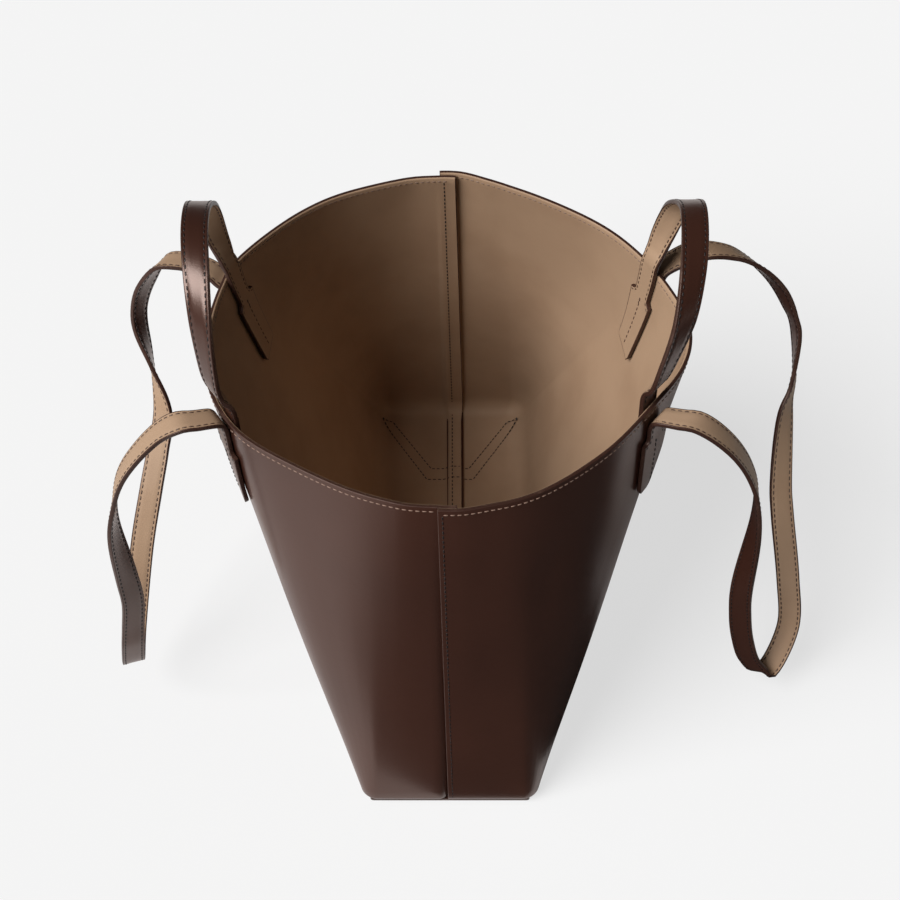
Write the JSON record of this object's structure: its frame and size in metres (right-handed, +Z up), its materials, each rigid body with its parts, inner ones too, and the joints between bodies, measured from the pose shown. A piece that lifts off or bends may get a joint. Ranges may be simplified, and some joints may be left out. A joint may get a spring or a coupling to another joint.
{
  "type": "tote bag",
  "caption": "Open leather tote bag with a rectangular base, a wide round mouth, short hand handles and long shoulder straps, joined by a lapped end seam.",
  "frame": {"origin": "on the floor, under the middle of the bag and its straps", "axes": "+X across the bag towards the right panel, +Y from the near seam to the far seam, +Z up out of the mouth"},
  "size_m": [0.5182, 0.3914, 0.4065],
  "materials": {
    "brown_leather": "smooth, softly glossy dark brown leather",
    "tan_leather": "matt tan leather, the inner face of the double leather"
  },
  "bodies": {
    "bag": {"left_panel": "brown_leather", "left_handle_near_tab": "brown_leather", "left_handle_far_tab": "brown_leather", "left_handle_near_neck": "brown_leather", "left_handle_far_neck": "brown_leather", "left_strap_near_tab": "brown_leather", "left_strap_far_tab": "brown_leather", "left_strap_near_neck": "brown_leather", "left_strap_far_neck": "brown_leather", "right_panel": "brown_leather", "right_handle_near_tab": "brown_leather", "right_handle_far_tab": "brown_leather", "right_handle_near_neck": "brown_leather", "right_handle_far_neck": "brown_leather", "right_strap_near_tab": "brown_leather", "right_strap_far_tab": "brown_leather", "right_strap_near_neck": "brown_leather", "right_strap_far_neck": "brown_leather", "near_base_ear": "brown_leather", "far_base_ear": "brown_leather", "left_panel_lining": "tan_leather", "left_handle_near_tab_lining": "tan_leather", "left_handle_far_tab_lining": "tan_leather", "left_handle_near_neck_lining": "tan_leather", "left_handle_far_neck_lining": "tan_leather", "left_strap_near_tab_lining": "tan_leather", "left_strap_far_tab_lining": "tan_leather", "left_strap_near_neck_lining": "tan_leather", "left_strap_far_neck_lining": "tan_leather", "right_panel_lining": "tan_leather", "right_handle_near_tab_lining": "tan_leather", "right_handle_far_tab_lining": "tan_leather", "right_handle_near_neck_lining": "tan_leather", "right_handle_far_neck_lining": "tan_leather", "right_strap_near_tab_lining": "tan_leather", "right_strap_far_tab_lining": "tan_leather", "right_strap_near_neck_lining": "tan_leather", "right_strap_far_neck_lining": "tan_leather"},
    "left_handle": {"left_handle": "brown_leather", "left_handle_lining": "tan_leather"},
    "right_handle": {"right_handle": "brown_leather", "right_handle_lining": "tan_leather"},
    "left_strap": {"left_strap": "brown_leather", "left_strap_lining": "tan_leather"},
    "right_strap": {"right_strap": "brown_leather", "right_strap_lining": "tan_leather"}
  },
  "joints": [
    {"name": "left_handle_swing", "type": "hinge", "parent": "bag", "child": "left_handle", "pos_m": [-0.1558, -0.0138, 0.3181], "axis": [-0.0854, 0.9963, 0.0015], "range_deg": [-20, 75], "stiffness_Nm_per_rad": 0.15, "springref_deg": 0.34, "deforming": ["left_handle_near_neck", "left_handle_near_neck_lining", "left_handle_far_neck", "left_handle_far_neck_lining"]},
    {"name": "right_handle_swing", "type": "hinge", "parent": "bag", "child": "right_handle", "pos_m": [0.12595, -0.0082, 0.31935], "axis": [-0.0912, -0.9958, -0.0025], "range_deg": [-20, 75], "stiffness_Nm_per_rad": 0.15, "springref_deg": 0.52, "deforming": ["right_handle_near_neck", "right_handle_near_neck_lining", "right_handle_far_neck", "right_handle_far_neck_lining"]},
    {"name": "left_strap_swing", "type": "hinge", "parent": "bag", "child": "left_strap", "pos_m": [-0.1609, -0.01475, 0.301], "axis": [-0.0618, 0.9947, -0.0819], "range_deg": [-15, 40], "stiffness_Nm_per_rad": 0.15, "springref_deg": 7.49, "deforming": ["left_strap_near_neck", "left_strap_near_neck_lining", "left_strap_far_neck", "left_strap_far_neck_lining"]},
    {"name": "right_strap_swing", "type": "hinge", "parent": "bag", "child": "right_strap", "pos_m": [0.1326, -0.0094, 0.30095], "axis": [-0.0808, -0.9962, -0.0337], "range_deg": [-15, 40], "stiffness_Nm_per_rad": 0.15, "springref_deg": 10.24, "deforming": ["right_strap_near_neck", "right_strap_near_neck_lining", "right_strap_far_neck", "right_strap_far_neck_lining"]}
  ]
}
